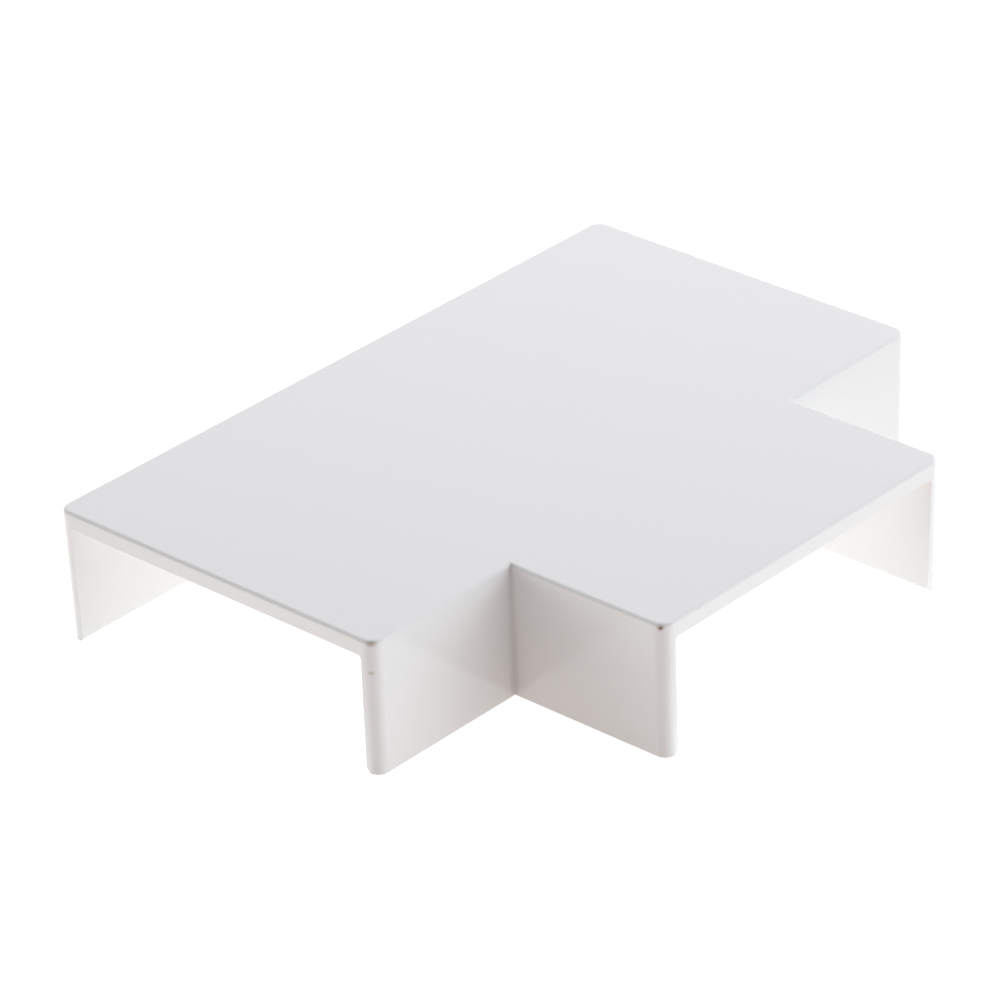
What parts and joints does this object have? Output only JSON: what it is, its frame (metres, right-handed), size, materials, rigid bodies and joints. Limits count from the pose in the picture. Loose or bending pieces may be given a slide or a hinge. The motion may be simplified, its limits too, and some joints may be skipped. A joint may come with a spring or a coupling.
{
  "type": "trunking tee fitting",
  "caption": "One-piece moulded flat tee cover for rectangular mini trunking, open underneath and at its square-cut ends.",
  "frame": {"origin": "where the centrelines of the run and the branch cross, on the surface that the cover is fixed to", "axes": "+X along the run, -Y along the branch towards its open end, +Z away from the wall, through the top plate"},
  "size_m": [0.063, 0.048, 0.0115],
  "materials": {
    "cover_plastic": "white unplasticised PVC, satin, with a very fine moulded grain"
  },
  "bodies": {
    "root": {"tee_cover": "cover_plastic"}
  },
  "joints": []
}
